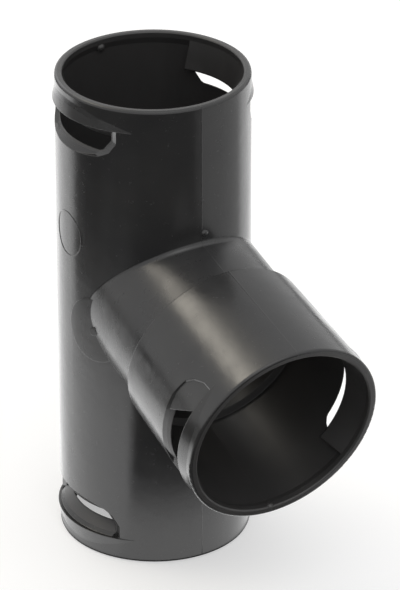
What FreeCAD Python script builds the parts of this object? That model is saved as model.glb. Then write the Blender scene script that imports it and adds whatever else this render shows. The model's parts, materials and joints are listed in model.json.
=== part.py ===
import FreeCAD, Part
import Sketcher
import os

# Branch tee for corrugated drain pipe, moulded in one piece.
# Millimetres. The run's axis is Z and its lower mouth lies in the plane Z = 0.
# The branch leaves towards +X and droops below level. The windows face +Y and -Y.

doc = FreeCAD.newDocument("branch_tee")
sheet = doc.addObject("Spreadsheet::Sheet", "Sizes")

DIMENSIONS = {
    # run
    "run_radius": 60.0,
    "run_length": 312.0,
    "wall": 3.6,
    "run_lip_radius": 55.2,
    # branch: distances are measured along its axis from the axis of the run
    "branch_height": 176.3,
    "branch_droop": 14.0,
    "neck_radius": 56.7,
    "step_place": 79.0,
    "step_length": 1.5,
    "socket_root_radius": 61.2,
    "branch_length": 164.6,
    "branch_radius": 64.0,
    "branch_lip_radius": 58.8,
    # every mouth: depths are measured inwards from the end face
    "rim_round": 1.6,
    "rim_facet": 0.5,
    "lead_in": 0.8,
    "lip_depth": 4.0,
    "lip_slope_depth": 8.0,
    # windows and catches
    "run_strap_depth": 15.0,
    "run_flat": 46.4,
    "run_corner_depth": 27.2,
    "run_corner_reach": 9.6,
    "run_bulge": 2.0,
    "run_crest_radius": 52.0,
    "run_catch_reach": 33.0,
    "branch_strap_depth": 13.5,
    "branch_flat": 48.9,
    "branch_corner_depth": 25.0,
    "branch_corner_reach": 6.5,
    "branch_bulge": 1.2,
    "branch_crest_radius": 55.4,
    "branch_catch_reach": 34.8,
    "branch_sill_radius": 62.8,
    "sill_depth": 36.8,
    "sill_inner_depth": 31.0,
    "corner_cut": 4.0,
    "corner_share": 0.3,
    "crest_depth": 22.6,
    "catch_ledge": 0.4,
    "bulge_offset": 5.3,
    "bulge_start": 0.6,
    "cutter_reach": 80.0,
    "cutter_width": 140.0,
    "overrun": 1.0,
    # recessed panel at the upper end of each branch window
    "panel_recess": 1.2,
    "panel_thickness": 2.0,
    "panel_strap_reach": 26.5,
    "panel_sill_reach": 9.0,
    # gate pad on the side of the run, where the saddle line turns
    "gate_angle": 66.0,
    "gate_height": 158.5,
    "gate_pad_radius": 21.0,
    "gate_pad_rise": 0.9,
    "gate_nub_radius": 2.6,
    "gate_nub_rise": 2.4,
}

NEAR = 1e-4

for row, (alias, value) in enumerate(DIMENSIONS.items(), start=1):
    sheet.set(f"A{row}", alias)
    sheet.set(f"B{row}", str(value))
    sheet.setAlias(f"B{row}", alias)
doc.recompute()


def value_of(expression):
    """The number that an expression of sheet cells gives."""
    return float(sheet.evalExpression(expression))


def bind(obj, sizes):
    """Bind properties of an object to expressions of sheet cells."""
    for name, expression in sizes.items():
        obj.setExpression(name, qualified(expression))


def qualified(expression):
    """The same expression, written for use outside the sheet."""
    words = expression.replace("(", "( ").replace(")", " )").split()
    return " ".join(f"Sizes.{word}" if word in DIMENSIONS else word for word in words)


def primitive(kind, name, sizes, placement=FreeCAD.Placement()):
    obj = doc.addObject("Part::" + kind, name)
    bind(obj, sizes)
    obj.Placement = placement
    return obj


def combined(kind, name, shapes):
    """A fusion or common of several objects."""
    obj = doc.addObject("Part::" + kind, name)
    obj.Shapes = shapes
    return obj


def cut(name, base, tool):
    obj = doc.addObject("Part::Cut", name)
    obj.Base = base
    obj.Tool = tool
    return obj


def outline(body, name, role, corners):
    """A closed outline whose corners are bound to pairs of expressions."""
    sketch = body.newObject("Sketcher::SketchObject", name)
    plane = next(item for item in body.Origin.OriginFeatures if item.Role == role)
    sketch.AttachmentSupport = [(plane, "")]
    sketch.MapMode = "FlatFace"
    places = [FreeCAD.Vector(value_of(across), value_of(along), 0) for across, along in corners]
    following = places[1:] + places[:1]
    for start, end in zip(places, following):
        sketch.addGeometry(Part.LineSegment(start, end), False)
    for index, (place, corner) in enumerate(zip(places, corners)):
        after = (index + 1) % len(corners)
        sketch.addConstraint(Sketcher.Constraint("Coincident", index, 2, after, 1))
        for kind, expression, size in zip(("DistanceX", "DistanceY"), corner, (place.x, place.y)):
            number = sketch.addConstraint(Sketcher.Constraint(kind, -1, 1, index, 1, size))
            sketch.setExpression(f"Constraints[{number}]", qualified(expression))
    return sketch


def turned(name, corners, placement=FreeCAD.Placement()):
    """A body turned about its Z axis from (radius, height) corners."""
    body = doc.addObject("PartDesign::Body", name)
    sketch = outline(body, name + "_outline", "XZ_Plane", corners)
    turn = body.newObject("PartDesign::Revolution", name + "_turn")
    turn.Profile = sketch
    turn.ReferenceAxis = (sketch, ["V_Axis"])
    turn.Angle = 360.0
    body.Tip = turn
    body.Placement = placement
    return body


def extruded(name, role, corners, placement):
    """A body extruded from corners in one of its planes, half to each side."""
    body = doc.addObject("PartDesign::Body", name)
    sketch = outline(body, name + "_outline", role, corners)
    pad = body.newObject("PartDesign::Pad", name + "_pad")
    pad.Profile = sketch
    bind(pad, {"Length": "cutter_width"})
    pad.SideType = "Symmetric"
    body.Tip = pad
    body.Placement = placement
    return body


def rim_rounded(body, rim_radius, rim_height):
    """Round the rim of a turned body: its circular edge of this radius at this height."""
    doc.recompute()
    turn = body.Tip
    names = []
    for number, edge in enumerate(turn.Shape.Edges, start=1):
        if isinstance(edge.Curve, Part.Circle):
            radius_error = abs(edge.Curve.Radius - value_of(rim_radius))
            height_error = abs(edge.Curve.Center.z - value_of(rim_height))
            if max(radius_error, height_error) < NEAR:
                names.append(f"Edge{number}")
    fillet = body.newObject("PartDesign::Fillet", body.Name + "_rim")
    fillet.Base = (turn, names)
    bind(fillet, {"Radius": "rim_round"})
    body.Tip = fillet
    return body


# Places of the parts that don't stand at the origin

UPRIGHT = FreeCAD.Placement()
HALF_TURN = FreeCAD.Placement(FreeCAD.Vector(), FreeCAD.Rotation(FreeCAD.Vector(0, 0, 1), 180))
branch_turn = FreeCAD.Rotation(FreeCAD.Vector(0, 1, 0), 90 + value_of("branch_droop"))
branch_place = FreeCAD.Placement(FreeCAD.Vector(0, 0, value_of("branch_height")), branch_turn)
face_about = FreeCAD.Placement(FreeCAD.Vector(), FreeCAD.Rotation(FreeCAD.Vector(1, 0, 0), 180))


def far_end(place, length):
    """The frame of the mouth at the far end of a pipe, looking back along its axis."""
    end = FreeCAD.Placement(FreeCAD.Vector(0, 0, value_of(length)), FreeCAD.Rotation())
    return place * end * face_about


def mouth_of(pipe, sill_radius, place):
    """A mouth in a frame of its own: the end face is its XY plane and Z is the depth."""
    names = ("radius", "lip_radius", "strap_depth", "flat", "corner_depth", "corner_reach",
             "bulge", "crest_radius", "catch_reach")
    sizes = {name: f"{pipe}_{name}" for name in names}
    return {**sizes, "sill_radius": sill_radius, "place": place}


MOUTHS = {
    "lower": mouth_of("run", "run_radius", UPRIGHT),
    "upper": mouth_of("run", "run_radius", far_end(UPRIGHT, "run_length")),
    "branch": mouth_of("branch", "branch_sill_radius", far_end(branch_place, "branch_length")),
}


def strap_bulge(name, mouth, side):
    """The strap swells outwards towards its window and fades into the wall on each side."""
    start = FreeCAD.Placement(
        FreeCAD.Vector(0, value_of("bulge_offset"), value_of("rim_round")), FreeCAD.Rotation())
    return primitive("Cone", name, {
        "Radius1": f"{mouth['radius']} - bulge_offset - bulge_start",
        "Radius2": f"{mouth['radius']} + {mouth['bulge']} - bulge_offset",
        "Height": f"{mouth['strap_depth']} - rim_round",
    }, mouth["place"] * side * start)


def window_cutter(name, mouth, side):
    """The window: flat ends, bevelled sill corners, a sloped sill and a square strap side."""
    flat = mouth["flat"]
    strap = mouth["strap_depth"]
    radius = mouth["sill_radius"]
    corner = mouth["corner_depth"]
    reach = mouth["corner_reach"]
    prism = extruded(name + "_prism", "YZ_Plane", [
        (flat, strap),
        (flat, f"{corner} - corner_cut"),
        (f"{flat} + corner_share * {reach}", f"{corner} + corner_share * (sill_depth - {corner})"),
        (f"{flat} + {reach} - corner_share * {reach}",
         f"sill_depth - corner_share * (sill_depth - {corner})"),
        (f"{flat} + {reach} + corner_cut", "sill_depth"),
        ("cutter_reach", "sill_depth"),
        ("cutter_reach", strap),
    ], mouth["place"] * side)
    slope = turned(name + "_slope", [
        (f"{radius} - 2 * wall", strap),
        (f"{radius} - 2 * wall", "2 * sill_inner_depth - sill_depth"),
        (f"{radius} + wall", "2 * sill_depth - sill_inner_depth"),
        (f"{radius} + wall", strap),
    ], mouth["place"] * side)
    return combined("MultiCommon", name, [prism, slope])


def snap_catch(name, mouth, side):
    """The ramp behind the strap, with its undercut side towards the window."""
    lip = mouth["lip_radius"]
    reach = mouth["catch_reach"]
    strap = mouth["strap_depth"]
    root = f"{mouth['radius']} - catch_ledge"
    ring = turned(name + "_ring", [
        (lip, "lip_depth"),
        (f"{lip} + wall", "lip_depth"),
        (root, f"{strap} - overrun"),
        (root, strap),
        (mouth["crest_radius"], "crest_depth"),
    ], mouth["place"] * side)
    corner = FreeCAD.Placement(FreeCAD.Vector(-value_of(reach), 0, 0), FreeCAD.Rotation())
    block = primitive("Box", name + "_block", {
        "Length": f"2 * {reach}",
        "Width": "cutter_reach",
        "Height": "sill_depth",
    }, mouth["place"] * side * corner)
    return combined("MultiCommon", name, [ring, block])


# Outer forms of the run and the branch

run_form = turned("run_form", [
    ("0", "0"),
    ("run_radius - rim_round", "0"),
    ("run_radius - rim_facet", "rim_facet"),
    ("run_radius", "rim_round"),
    ("run_radius", "run_length - rim_round"),
    ("run_radius - rim_facet", "run_length - rim_facet"),
    ("run_radius - rim_round", "run_length"),
    ("0", "run_length"),
])

branch_form = rim_rounded(turned("branch_form", [
    ("0", "0"),
    ("neck_radius", "0"),
    ("neck_radius", "step_place"),
    ("socket_root_radius", "step_place + step_length"),
    ("branch_radius", "branch_length"),
    ("0", "branch_length"),
], branch_place), "branch_radius", "branch_length")

# Gate pad: a low disc that follows the run's curve, with a nub at its centre

gate_place = FreeCAD.Placement(
    FreeCAD.Vector(0, 0, value_of("gate_height")),
    FreeCAD.Rotation(FreeCAD.Vector(0, 0, 1), -value_of("gate_angle"))
    * FreeCAD.Rotation(FreeCAD.Vector(0, 1, 0), 90))
gate_disc = primitive("Cylinder", "gate_disc", {
    "Radius": "gate_pad_radius",
    "Height": "run_radius + gate_nub_rise",
}, gate_place)
gate_skin = primitive("Cylinder", "gate_skin", {
    "Radius": "run_radius + gate_pad_rise",
    "Height": "run_length",
})
gate_pad = combined("MultiCommon", "gate_pad", [gate_disc, gate_skin])
gate_nub = primitive("Cylinder", "gate_nub", {
    "Radius": "gate_nub_radius",
    "Height": "run_radius + gate_nub_rise",
}, gate_place)

# Hollows

run_hollow = turned("run_hollow", [
    ("0", "0 - overrun"),
    ("run_lip_radius + lead_in + overrun", "0 - overrun"),
    ("run_lip_radius", "lead_in"),
    ("run_lip_radius", "lip_depth"),
    ("run_radius - wall", "lip_slope_depth"),
    ("run_radius - wall", "run_length - lip_slope_depth"),
    ("run_lip_radius", "run_length - lip_depth"),
    ("run_lip_radius", "run_length - lead_in"),
    ("run_lip_radius + lead_in + overrun", "run_length + overrun"),
    ("0", "run_length + overrun"),
])

branch_hollow = turned("branch_hollow", [
    ("0", "0"),
    ("neck_radius - wall", "0"),
    ("neck_radius - wall", "step_place + wall"),
    ("socket_root_radius - wall", "step_place + step_length + wall"),
    ("branch_radius - wall", "branch_length - lip_slope_depth"),
    ("branch_lip_radius", "branch_length - lip_depth"),
    ("branch_lip_radius", "branch_length - lead_in"),
    ("branch_lip_radius + lead_in + overrun", "branch_length + overrun"),
    ("0", "branch_length + overrun"),
], branch_place)

bulges = []
windows = []
catches = []
for mouth_name, mouth in MOUTHS.items():
    for side_name, side in (("left", UPRIGHT), ("right", HALF_TURN)):
        label = f"{mouth_name}_{side_name}"
        bulges.append(strap_bulge(label + "_bulge", mouth, side))
        windows.append(window_cutter(label + "_window", mouth, side))
        catches.append(snap_catch(label + "_catch", mouth, side))

# Panel: it closes the upper end of both branch windows and stops on a slant

panel_ring = turned("panel_ring", [
    ("branch_radius - panel_recess - panel_thickness", "branch_strap_depth - overrun"),
    ("branch_radius - panel_recess", "branch_strap_depth - overrun"),
    ("branch_sill_radius - panel_recess", "sill_depth + overrun"),
    ("branch_sill_radius - panel_recess - panel_thickness", "sill_depth + overrun"),
], MOUTHS["branch"]["place"])
panel_block = extruded("panel_block", "XZ_Plane", [
    ("0 - panel_strap_reach", "branch_strap_depth - overrun"),
    ("0 - panel_sill_reach", "sill_depth + overrun"),
    ("0 - cutter_reach", "sill_depth + overrun"),
    ("0 - cutter_reach", "branch_strap_depth - overrun"),
], MOUTHS["branch"]["place"])
branch_panel = combined("MultiCommon", "branch_panel", [panel_ring, panel_block])

outside = combined("MultiFuse", "outside", [run_form, branch_form, gate_pad, gate_nub] + bulges)
openings = combined("MultiFuse", "openings", [run_hollow, branch_hollow] + windows)
open_body = cut("open_body", outside, openings)
tee_body = combined("MultiFuse", "tee_body", [open_body, branch_panel] + catches)
tee_body.Refine = True

doc.recompute()

NODES = {"tee_body": tee_body}

for obj in doc.Objects:
    faults = [state for state in obj.State if state in ("Invalid", "Error")]
    if faults:
        raise RuntimeError(f"{obj.Name} failed: {faults}")

os.makedirs("parts", exist_ok=True)
for node, obj in NODES.items():
    shape = obj.Shape
    if shape.isNull() or not shape.isValid() or len(shape.Solids) != 1:
        raise RuntimeError(f"{node} isn't one sound solid")
    shape.exportStep(f"parts/{node}.step")
    print(node, "volume", round(shape.Volume / 1000, 1), "cm3", "box", shape.BoundBox)
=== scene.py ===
import bpy
import json
import math
from mathutils import Matrix, Vector


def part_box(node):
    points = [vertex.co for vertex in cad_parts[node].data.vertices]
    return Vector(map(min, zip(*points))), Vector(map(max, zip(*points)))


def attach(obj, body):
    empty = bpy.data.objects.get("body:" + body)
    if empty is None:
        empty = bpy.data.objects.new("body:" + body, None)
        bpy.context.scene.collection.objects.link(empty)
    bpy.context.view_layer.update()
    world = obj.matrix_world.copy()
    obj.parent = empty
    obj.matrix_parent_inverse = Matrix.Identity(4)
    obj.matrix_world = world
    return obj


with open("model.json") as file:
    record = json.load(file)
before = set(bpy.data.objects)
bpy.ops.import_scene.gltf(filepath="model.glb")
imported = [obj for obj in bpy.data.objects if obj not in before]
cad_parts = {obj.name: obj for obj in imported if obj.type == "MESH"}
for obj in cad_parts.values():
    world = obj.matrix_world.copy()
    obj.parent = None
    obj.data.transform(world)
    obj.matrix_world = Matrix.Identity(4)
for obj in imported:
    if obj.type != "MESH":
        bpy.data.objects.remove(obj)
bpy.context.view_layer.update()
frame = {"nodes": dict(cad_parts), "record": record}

# Sizes read from the frame, in metres

NODE = "tee_body"
MOUNTS = {mount["name"]: mount for mount in frame["record"]["mounts"]}
box_low, box_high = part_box(NODE)
RUN_RADIUS = -box_low.x
RUN_LENGTH = box_high.z
BRANCH_AXIS = Vector(MOUNTS["branch_mouth"]["axis"])
BRANCH_MOUTH = Vector(MOUNTS["branch_mouth"]["pos_m"])
BRANCH_ROOT = BRANCH_MOUTH - BRANCH_AXIS * (BRANCH_MOUTH.x / BRANCH_AXIS.x)

# Camera: where it stands, seen from the middle of the run, and its small turns

CAMERA_SIDE = math.radians(28.88)        # to the side of the branch's own direction
CAMERA_ELEVATION = math.radians(27.80)
CAMERA_DISTANCE = 2.950
CAMERA_YAW = math.radians(0.553)
CAMERA_PITCH = math.radians(0.027)
CAMERA_ROLL = math.radians(0.341)
FOCAL_PIXELS = 4748.8
IMAGE_HEIGHT = 590
SENSOR = 36.0
CLIP_START, CLIP_END = 0.1, 20.0

AIM = Vector((0.0, 0.0, RUN_LENGTH / 2))
UP = Vector((0.0, 0.0, 1.0))
CAMERA_RIGHT = Vector((math.sin(CAMERA_SIDE), math.cos(CAMERA_SIDE), 0.0))
CAMERA_AWAY = Vector((-math.cos(CAMERA_SIDE), math.sin(CAMERA_SIDE), 0.0))


def add_camera():
    """A camera at the photograph's angle, far off and with a long lens."""
    side = CAMERA_RIGHT.copy()
    forward = CAMERA_AWAY * math.cos(CAMERA_ELEVATION) - UP * math.sin(CAMERA_ELEVATION)
    place = AIM - forward * CAMERA_DISTANCE
    up = side.cross(forward)
    for angle, axis in ((-CAMERA_YAW, up), (CAMERA_PITCH, side), (CAMERA_ROLL, forward)):
        turn = Matrix.Rotation(angle, 3, axis)
        side, up, forward = turn @ side, turn @ up, turn @ forward
    data = bpy.data.cameras.new("camera")
    data.sensor_width = SENSOR
    data.lens = SENSOR * FOCAL_PIXELS / IMAGE_HEIGHT
    data.clip_start, data.clip_end = CLIP_START, CLIP_END
    camera = bpy.data.objects.new("camera", data)
    bpy.context.scene.collection.objects.link(camera)
    pose = Matrix((side, up, -forward)).transposed().to_4x4()
    pose.translation = place
    camera.matrix_world = pose
    bpy.context.scene.camera = camera


# Nodes

class Nodes:
    """A short way to add and join the nodes of one tree."""

    def __init__(self, tree):
        self.tree = tree
        tree.nodes.clear()

    def add(self, kind, inputs=None, **settings):
        node = self.tree.nodes.new(kind)
        for name, value in settings.items():
            setattr(node, name, value)
        for name, value in (inputs or {}).items():
            if isinstance(value, bpy.types.NodeSocket):
                self.tree.links.new(value, node.inputs[name])
            else:
                node.inputs[name].default_value = value
        return node

    def math(self, operation, first, second=0.0, third=0.0):
        return self.add("ShaderNodeMath", {0: first, 1: second, 2: third}, operation=operation).outputs[0]

    def vector(self, operation, first, second):
        """A vector, or a number for the operations that give one."""
        node = self.add("ShaderNodeVectorMath", {0: first, 1: second}, operation=operation)
        return node.outputs["Value" if operation == "DOT_PRODUCT" else "Vector"]

    def length(self, vector):
        return self.add("ShaderNodeVectorMath", {0: vector}, operation="LENGTH").outputs["Value"]

    def total(self, values):
        """The sum of several values."""
        result = values[0]
        for value in values[1:]:
            result = self.math("ADD", result, value)
        return result

    def mapped(self, value, low, high, first, last, kind="LINEAR"):
        """A value mapped from low..high to first..last."""
        return self.add("ShaderNodeMapRange", {"Value": value, "From Min": low, "From Max": high,
                                               "To Min": first, "To Max": last},
                        interpolation_type=kind).outputs[0]

    def step(self, value, place, fade):
        """A smooth step from 0 to 1 at a place, or from 1 to 0 where the fade is negative."""
        return self.mapped(value, place - fade, place + fade, 0.0, 1.0, "SMOOTHSTEP")

    def mixed(self, factor, first, second):
        """Two colours mixed."""
        return self.add("ShaderNodeMix", {"Factor": factor, 6: first, 7: second}, data_type="RGBA",
                        clamp_result=False).outputs[2]

    def bumped(self, height, strength, distance, normal):
        return self.add("ShaderNodeBump", {"Height": height, "Strength": strength, "Distance": distance,
                                           "Normal": normal}).outputs[0]

    def ramp(self, factor, places, first, last):
        """A colour ramp between two places, from one grey or colour to another."""
        node = self.add("ShaderNodeValToRGB", {"Fac": factor})
        for element, place, value in zip(node.color_ramp.elements, places, (first, last)):
            element.position = place
            colour = (value,) * 3 if isinstance(value, float) else value
            element.color = (*colour, 1.0)
        return node.outputs["Color"]

    def noise(self, vector, scale, detail=2.0, roughness=0.5):
        node = self.add("ShaderNodeTexNoise", {"Vector": vector, "Scale": scale, "Detail": detail,
                                               "Roughness": roughness})
        return node.outputs["Fac"]


# Plastic

PLASTIC_DARK = (0.0190, 0.0190, 0.0200)
PLASTIC_LIGHT = (0.0270, 0.0268, 0.0266)
INSIDE_PAINTED_LIGHT = (0.0330, 0.0320, 0.0320)
# Painted highlight: the edges are painted in this lighter colour
EDGE_PAINTED_HIGHLIGHT = (0.0420, 0.0415, 0.0410)
EDGE_PAINTED_HIGHLIGHT_SHARE = 0.7
IOR = 1.54

SMOOTH, DULL = 0.17, 0.27                # roughness of the outer skin
SCUFF_DULLNESS = 0.10
CORE_DULLNESS = 0.16
NECK_DULLNESS = 0.06

# Noise: scale, detail and, where it isn't 0.5, roughness
CLOUDS = (22.0, 3.0)
FLOW = (55.0, 4.0, 0.6)
RIPPLE = (70.0, 2.0)
SCUFFS = (260.0, 5.0, 0.7)
GRAIN = (1300.0, 2.0)
FLOW_STRETCH = (1.0, 1.0, 0.2)
MIDDLE_RANGE = (0.3, 0.7)                # of the clouds and the flow
SCUFF_RANGE = (0.60, 0.72)
EDGE_RANGE = (0.80, 0.97)                # cosine between the bevelled and the true normal

# Bumps: strength and distance
RIPPLE_BUMP = (0.14, 0.0012)
GRAIN_BUMP = (0.24, 0.0001)
SEAM_BUMP = (0.9, 0.0003)
BEVEL = 0.0007
BEVEL_SAMPLES = 6

SEAM_WIDTH = 0.00045
SEAM_ON_BRANCH = 0.3
SEAM_FADE = (RUN_RADIUS + 0.001, RUN_RADIUS + 0.004)

# The skin inside, made by the cores of the mould: duller, and painted lighter in colour as a stand-in for
# the light inside the bores. The radii lie within the walls, between their inner and outer faces; the
# starts and the end are distances along the branch.
CORE_RADIUS = 0.0575
NECK_CORE = 0.0550
SOCKET_CORE = (0.0594, 0.0622)
SOCKET_START = 0.0812
SOCKET_END = 0.1646
NECK_START = RUN_RADIUS + 0.0006


def skins(nodes, place, reach):
    """1 inside the run and the branch, and 1 on the outside of the neck."""
    root = nodes.vector("SUBTRACT", place, BRANCH_ROOT)
    away = nodes.length(nodes.vector("CROSS_PRODUCT", root, BRANCH_AXIS))
    along = nodes.vector("DOT_PRODUCT", root, BRANCH_AXIS)
    widening = nodes.mapped(along, SOCKET_START, SOCKET_END,
                            SOCKET_CORE[0] - NECK_CORE, SOCKET_CORE[1] - NECK_CORE)
    in_socket = nodes.math("GREATER_THAN", along, SOCKET_START)
    radius = nodes.math("MULTIPLY_ADD", widening, in_socket, NECK_CORE)
    in_branch = nodes.math("MULTIPLY", nodes.math("LESS_THAN", away, radius),
                           nodes.math("GREATER_THAN", along, 0.0))
    dull_core_and_painted_light = nodes.math("MAXIMUM", in_branch, nodes.math("LESS_THAN", reach, CORE_RADIUS))
    on_neck = nodes.math("MULTIPLY", nodes.math("LESS_THAN", along, SOCKET_START),
                         nodes.math("GREATER_THAN", reach, NECK_START))
    return dull_core_and_painted_light, nodes.math("MULTIPLY", on_neck, nodes.math("SUBTRACT", 1.0, dull_core_and_painted_light))


def seam(nodes, place, reach):
    """1 on the mould's parting plane, fainter on the branch; the run's bore has none."""
    parts = nodes.add("ShaderNodeSeparateXYZ", {"Vector": place}).outputs
    band = nodes.mapped(nodes.math("ABSOLUTE", parts["Y"]), 0.0, SEAM_WIDTH, 1.0, 0.0, "SMOOTHSTEP")
    depth = nodes.mapped(reach, *SEAM_FADE, 1.0, SEAM_ON_BRANCH)
    outside = nodes.math("GREATER_THAN", reach, CORE_RADIUS)
    return nodes.math("MULTIPLY", nodes.math("MULTIPLY", band, depth), outside)


def black_plastic():
    """Black polyethylene: a satin moulded skin with flow marks, grain and a seam line; its edges carry a
    painted highlight, and the inside of the bores is painted lighter as a stand-in for the light inside
    them.
    """
    material = bpy.data.materials.new("black_plastic")
    material.use_nodes = True
    nodes = Nodes(material.node_tree)
    place = nodes.add("ShaderNodeTexCoord").outputs["Object"]
    stretched = nodes.add("ShaderNodeMapping", {"Vector": place, "Scale": FLOW_STRETCH}).outputs[0]
    reach = nodes.length(nodes.vector("MULTIPLY", place, (1.0, 1.0, 0.0)))
    dull_core_and_painted_light, neck = skins(nodes, place, reach)

    soft = nodes.add("ShaderNodeBevel", {"Radius": BEVEL}, samples=BEVEL_SAMPLES).outputs[0]
    true_normal = nodes.add("ShaderNodeNewGeometry").outputs["True Normal"]
    # Painted highlight: a lighter colour on the edges, where the bevelled normal turns away from the true
    # one
    painted_edge_highlight = nodes.ramp(nodes.vector("DOT_PRODUCT", soft, true_normal), EDGE_RANGE, 1.0, 0.0)

    colour = nodes.ramp(nodes.noise(place, *CLOUDS), MIDDLE_RANGE, PLASTIC_DARK, PLASTIC_LIGHT)
    # Painted light: the inside of the run and the branch is painted lighter, standing in for the light
    # inside the bores
    colour = nodes.mixed(dull_core_and_painted_light, colour, (*INSIDE_PAINTED_LIGHT, 1.0))
    colour = nodes.mixed(nodes.math("MULTIPLY", painted_edge_highlight, EDGE_PAINTED_HIGHLIGHT_SHARE), colour, (*EDGE_PAINTED_HIGHLIGHT, 1.0))

    scuffs = nodes.ramp(nodes.noise(place, *SCUFFS), SCUFF_RANGE, 0.0, 1.0)
    roughness = nodes.total([
        nodes.mapped(nodes.noise(stretched, *FLOW), *MIDDLE_RANGE, SMOOTH, DULL),
        nodes.math("MULTIPLY", scuffs, SCUFF_DULLNESS),
        nodes.math("MULTIPLY", dull_core_and_painted_light, CORE_DULLNESS),
        nodes.math("MULTIPLY", neck, NECK_DULLNESS)])

    normal = nodes.bumped(nodes.noise(place, *RIPPLE), *RIPPLE_BUMP, soft)
    normal = nodes.bumped(nodes.noise(place, *GRAIN), *GRAIN_BUMP, normal)
    normal = nodes.bumped(seam(nodes, place, reach), *SEAM_BUMP, normal)
    shader = nodes.add("ShaderNodeBsdfPrincipled", {"Base Color": colour, "Roughness": roughness,
                                                    "IOR": IOR, "Normal": normal})
    nodes.add("ShaderNodeOutputMaterial", {"Surface": shader.outputs[0]})
    return material


# Small moulded marks: pips left by the mould's gates and pins, and a plain witness ring

PIP_RADIUS = 0.0021
PIP_HEIGHT = 0.0011
PIP_PROFILE = ((1.35, -0.10), (1.12, 0.06), (0.94, 0.32), (0.74, 0.66), (0.44, 0.90), (0.0, 1.0))
PIP_SIDES = 20
UPPER_PIP_ANGLE = 186.0
UPPER_PIP_DEPTH = 0.0065
SADDLE_PIP_ANGLE = 2.0
SADDLE_PIP_HEIGHT = 0.2265

NECK_RADIUS = 0.0567
FILLET_TOP = 0.0036
FILLET_LOW = 0.0008
FILLET_STEPS = 144
FILLET_ARC = 8

RING_ANGLE = math.radians(-90.0)
RING_HEIGHT = 0.216
RING_RADIUS = 0.0143
RING_WIDTH = 0.0009
RING_RISE = 0.00035
RING_STEPS = 96
RING_SECTION = ((-1.0, -0.3), (-0.6, 0.75), (0.0, 1.0), (0.6, 0.75), (1.0, -0.3))


def add_detail(name, mesh):
    """A small piece of the body's own plastic."""
    for polygon in mesh.polygons:
        polygon.use_smooth = True
    mesh.materials.append(plastic)
    piece = link(name, mesh)
    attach(piece, "root")


def add_pip(name, place, outward):
    """A flat dome whose foot runs into the wall; outward points away from the wall."""
    turn = outward.to_track_quat("Z", "Y")
    points = []
    for reach, rise in PIP_PROFILE[:-1]:
        for side in range(PIP_SIDES):
            angle = 2 * math.pi * side / PIP_SIDES
            point = Vector((math.cos(angle) * reach * PIP_RADIUS, math.sin(angle) * reach * PIP_RADIUS,
                            rise * PIP_HEIGHT))
            points.append(place + turn @ point)
    points.append(place + outward * PIP_PROFILE[-1][1] * PIP_HEIGHT)
    rings = len(PIP_PROFILE) - 1
    faces = [(ring * PIP_SIDES + side, ring * PIP_SIDES + (side + 1) % PIP_SIDES,
              (ring + 1) * PIP_SIDES + (side + 1) % PIP_SIDES, (ring + 1) * PIP_SIDES + side)
             for ring in range(rings - 1) for side in range(PIP_SIDES)]
    last = (rings - 1) * PIP_SIDES
    faces += [(last + side, last + (side + 1) % PIP_SIDES, len(points) - 1) for side in range(PIP_SIDES)]
    mesh = bpy.data.meshes.new(name)
    mesh.from_pydata(points, [], faces)
    add_detail(name, mesh)


def add_saddle_fillet():
    """The hollow fillet where the neck of the branch runs into the run, widest on top."""
    up = UP - BRANCH_AXIS * BRANCH_AXIS.z
    up.normalize()
    side = BRANCH_AXIS.cross(up)
    points = []
    for place in range(FILLET_STEPS):
        turn = 2 * math.pi * place / FILLET_STEPS
        outward = up * math.cos(turn) + side * math.sin(turn)
        fillet = FILLET_LOW + (FILLET_TOP - FILLET_LOW) * max(0.0, math.cos(turn)) ** 0.5
        neck = NECK_RADIUS + fillet
        reach = math.sqrt((RUN_RADIUS + fillet) ** 2 - (neck * outward.y) ** 2)
        centre = BRANCH_ROOT + outward * neck + BRANCH_AXIS * ((reach - neck * outward.x) / BRANCH_AXIS.x)
        from_run = Vector((centre.x, centre.y, 0.0)).normalized()
        for part in range(FILLET_ARC + 1):
            points.append(centre - from_run.slerp(outward, part / FILLET_ARC) * fillet)
    width = FILLET_ARC + 1
    faces = [(place * width + part, (place + 1) % FILLET_STEPS * width + part,
              (place + 1) % FILLET_STEPS * width + part + 1, place * width + part + 1)
             for place in range(FILLET_STEPS) for part in range(FILLET_ARC)]
    mesh = bpy.data.meshes.new("saddle_fillet")
    mesh.from_pydata(points, [], faces)
    add_detail("saddle_fillet", mesh)


def add_witness_ring():
    """A plain low ring that follows the run's curve."""
    points = []
    for place in range(RING_STEPS):
        angle = 2 * math.pi * place / RING_STEPS
        for across, rise in RING_SECTION:
            radius = RING_RADIUS + across * RING_WIDTH / 2
            turn = RING_ANGLE + radius * math.cos(angle) / RUN_RADIUS
            reach = RUN_RADIUS + rise * RING_RISE
            height = RING_HEIGHT + radius * math.sin(angle)
            points.append((reach * math.cos(turn), reach * math.sin(turn), height))
    size = len(RING_SECTION)
    faces = [(place * size + part, place * size + part + 1,
              (place + 1) % RING_STEPS * size + part + 1, (place + 1) % RING_STEPS * size + part)
             for place in range(RING_STEPS) for part in range(size - 1)]
    mesh = bpy.data.meshes.new("witness_ring")
    mesh.from_pydata(points, [], faces)
    add_detail("witness_ring", mesh)


def level_direction(degrees):
    return Vector((math.cos(math.radians(degrees)), math.sin(math.radians(degrees)), 0.0))


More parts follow.
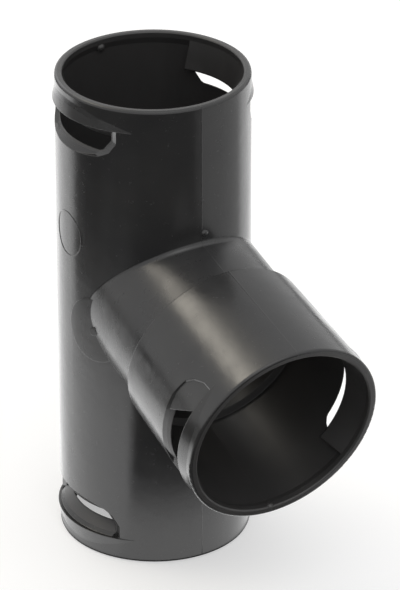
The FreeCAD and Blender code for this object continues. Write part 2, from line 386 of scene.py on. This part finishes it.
def add_pips():
    """One pip in the upper mouth, one at the bottom of the branch mouth, one over the saddle."""
    lip = MOUNTS["run_upper_mouth"]["dims"]["r_mm"] / 1000
    inner = level_direction(UPPER_PIP_ANGLE)
    add_pip("upper_mouth_pip", inner * lip + UP * (RUN_LENGTH - UPPER_PIP_DEPTH), -inner)
    branch_lip = MOUNTS["branch_mouth"]["dims"]["r_mm"] / 1000
    down = BRANCH_AXIS.cross(Vector((0.0, 1.0, 0.0)))
    down = -down if down.z > 0 else down
    add_pip("branch_mouth_pip", BRANCH_MOUTH + down * branch_lip, -down)
    front = level_direction(SADDLE_PIP_ANGLE)
    add_pip("saddle_pip", front * RUN_RADIUS + UP * SADDLE_PIP_HEIGHT, front)


# Stage

WHITE = (1.0, 1.0, 1.0)
FLOOR_SIZE = 8.0
FLOOR_GAP = 0.0002
FLOOR_GREY = 0.60
FLOOR_LIFT = 0.45
BOUNCE_GREY = 0.80
# The table as reflections show it: light close round the part's foot, and pale sheets further
# out. Azimuths in degrees from the direction of the camera, positive to the right; metres.
TABLE_DARK = 0.05
TABLE_EDGE = 3.0
SHADED_RADIUS = RUN_RADIUS + 0.002       # under the run, where no light falls
SHADED_EDGE = 0.002
TABLE_SHEETS = {
    # foot_right reaches less far than foot_left: painted shadow of the branch on the table, as reflections
    # show it
    "foot_right": {"azimuths": (-25, 195), "near": 0.0, "far": 0.14, "fade": 0.04, "strength": 1.7},
    "foot_left": {"azimuths": (-195, -25), "near": 0.0, "far": 0.35, "fade": 0.10, "strength": 1.9},
    "left_back": {"azimuths": (-190, -102), "near": 0.35, "far": 1.3, "fade": 0.10, "strength": 1.9},
    "right": {"azimuths": (52, 117), "near": 0.16, "far": 1.3, "fade": 0.04, "strength": 0.75},
    "right_back": {"azimuths": (117, 190), "near": 0.16, "far": 1.3, "fade": 0.04, "strength": 1.5},
}


def link(name, data):
    thing = bpy.data.objects.new(name, data)
    bpy.context.scene.collection.objects.link(thing)
    return thing


def floor_material():
    """Pale floor. In reflections it is a dark table with light and pale sheets round the part."""
    material = bpy.data.materials.new("pale_floor")
    material.use_nodes = True
    material.cycles.emission_sampling = "NONE"
    nodes = Nodes(material.node_tree)
    rays = nodes.add("ShaderNodeLightPath").outputs
    place = nodes.add("ShaderNodeTexCoord").outputs["Object"]
    right = nodes.vector("DOT_PRODUCT", place, CAMERA_RIGHT)
    front = nodes.vector("DOT_PRODUCT", place, -CAMERA_AWAY)
    azimuth = nodes.math("DEGREES", nodes.math("ARCTAN2", right, front))
    away = nodes.length(place)
    glows = []
    for sheet in TABLE_SHEETS.values():
        low, high = sheet["azimuths"]
        glow = nodes.math("MULTIPLY", nodes.step(away, sheet["far"], -sheet["fade"]), sheet["strength"])
        if sheet["near"]:
            glow = nodes.math("MULTIPLY", glow, nodes.step(away, sheet["near"], sheet["fade"]))
        between = nodes.math("MULTIPLY", nodes.step(azimuth, low, TABLE_EDGE),
                             nodes.step(azimuth, high, -TABLE_EDGE))
        glows.append(nodes.math("MULTIPLY", glow, between))
    open_table = nodes.step(away, SHADED_RADIUS, SHADED_EDGE)
    table = nodes.math("MULTIPLY_ADD", nodes.total(glows), open_table, TABLE_DARK)
    mirrored = nodes.add("ShaderNodeEmission", {"Color": (*WHITE, 1.0), "Strength": table}).outputs[0]
    grey = nodes.mixed(rays["Is Camera Ray"], (BOUNCE_GREY,) * 3 + (1.0,), (FLOOR_GREY,) * 3 + (1.0,))
    seen = nodes.add("ShaderNodeBsdfDiffuse", {"Color": grey}).outputs[0]
    lift = nodes.math("MULTIPLY", rays["Is Camera Ray"], FLOOR_LIFT)
    lifted = nodes.add("ShaderNodeEmission", {"Color": (*WHITE, 1.0), "Strength": lift}).outputs[0]
    plain = nodes.add("ShaderNodeAddShader", {0: seen, 1: lifted}).outputs[0]
    both = nodes.add("ShaderNodeMixShader", {"Fac": rays["Is Glossy Ray"], 1: plain, 2: mirrored})
    nodes.add("ShaderNodeOutputMaterial", {"Surface": both.outputs[0]})
    return material


def add_floor():
    half = FLOOR_SIZE / 2
    mesh = bpy.data.meshes.new("floor")
    corners = [(-half, -half, 0), (half, -half, 0), (half, half, 0), (-half, half, 0)]
    mesh.from_pydata(corners, [], [(0, 1, 2, 3)])
    mesh.materials.append(floor_material())
    floor = link("floor", mesh)
    floor.location.z = -FLOOR_GAP


# Studio: soft lamps as lobes of the sky. Azimuth from the direction of the camera, positive to
# the right, elevation, sharpness and brightness; low is the height at which a lamp is cut off.

SKY_BASE = 0.06
SKY_LAMPS = {
    "key": {"azimuth": -111, "elevation": 49, "sharpness": 42, "strength": 5.2, "low": 0.70},
    "key_glow": {"azimuth": -122, "elevation": 54, "sharpness": 14, "strength": 0.9, "low": 0.67},
    "front": {"azimuth": 10, "elevation": 55, "sharpness": 8, "strength": 2.2},
    "left_back": {"azimuth": -150, "elevation": 28, "sharpness": 14, "strength": 1.9},
    "right": {"azimuth": 95, "elevation": 50, "sharpness": 10, "strength": 1.0},
    "back": {"azimuth": 180, "elevation": 55, "sharpness": 10, "strength": 0.48},
    "right_back": {"azimuth": 145, "elevation": 50, "sharpness": 10, "strength": 0.32},
    "left": {"azimuth": -98, "elevation": 29, "sharpness": 14, "strength": 0.5},
    "left_low": {"azimuth": -70, "elevation": 5, "sharpness": 12, "strength": 0.17},
}
EDGE_SOFTNESS = 0.02
KEY_TINT = (1.06, 0.99, 0.86)


def sky_direction(azimuth, elevation):
    turn, rise = math.radians(azimuth), math.radians(elevation)
    level = CAMERA_RIGHT * math.sin(turn) - CAMERA_AWAY * math.cos(turn)
    return level * math.cos(rise) + UP * math.sin(rise)


def add_world():
    """White to the camera, through glass and in reflections, where lamps stand out; else a dim studio."""
    world = bpy.data.worlds.new("studio")
    bpy.context.scene.world = world
    world.use_nodes = True
    nodes = Nodes(world.node_tree)
    rays = nodes.add("ShaderNodeLightPath").outputs
    direction = nodes.add("ShaderNodeTexCoord").outputs["Generated"]
    height = nodes.add("ShaderNodeSeparateXYZ", {"Vector": direction}).outputs["Z"]
    glows = {True: [], False: []}
    for name, lamp in SKY_LAMPS.items():
        along = nodes.vector("DOT_PRODUCT", direction, sky_direction(lamp["azimuth"], lamp["elevation"]))
        fall = nodes.math("MULTIPLY", nodes.math("SUBTRACT", along, 1.0), lamp["sharpness"])
        glow = nodes.math("MULTIPLY", nodes.math("EXPONENT", fall), lamp["strength"])
        if "low" in lamp:
            edge = nodes.mapped(height, lamp["low"] - EDGE_SOFTNESS, lamp["low"] + EDGE_SOFTNESS, 0.0, 1.0)
            glow = nodes.math("MULTIPLY", glow, edge)
        glows[name.startswith("key")].append(glow)
    warm = nodes.add("ShaderNodeVectorMath", {0: KEY_TINT, "Scale": nodes.total(glows[True])},
                     operation="SCALE").outputs["Vector"]
    plain = nodes.math("ADD", nodes.total(glows[False]), SKY_BASE)
    sky = nodes.vector("ADD", warm, plain)
    mirrored = nodes.vector("MAXIMUM", sky, WHITE)
    lit = nodes.mixed(rays["Is Glossy Ray"], sky, mirrored)
    straight = nodes.math("ADD", rays["Is Camera Ray"], rays["Is Transmission Ray"])
    seen = nodes.mixed(straight, lit, (*WHITE, 1.0))
    back = nodes.add("ShaderNodeBackground", {"Color": seen, "Strength": 1.0}).outputs[0]
    nodes.add("ShaderNodeOutputWorld", {"Surface": back})


add_camera()
plastic = black_plastic()
body_mesh = frame["nodes"][NODE].data
body_mesh.materials.clear()
body_mesh.materials.append(plastic)
add_pips()
add_saddle_fillet()
add_witness_ring()
add_floor()
add_world()

bpy.context.scene.view_settings.view_transform = "Standard"
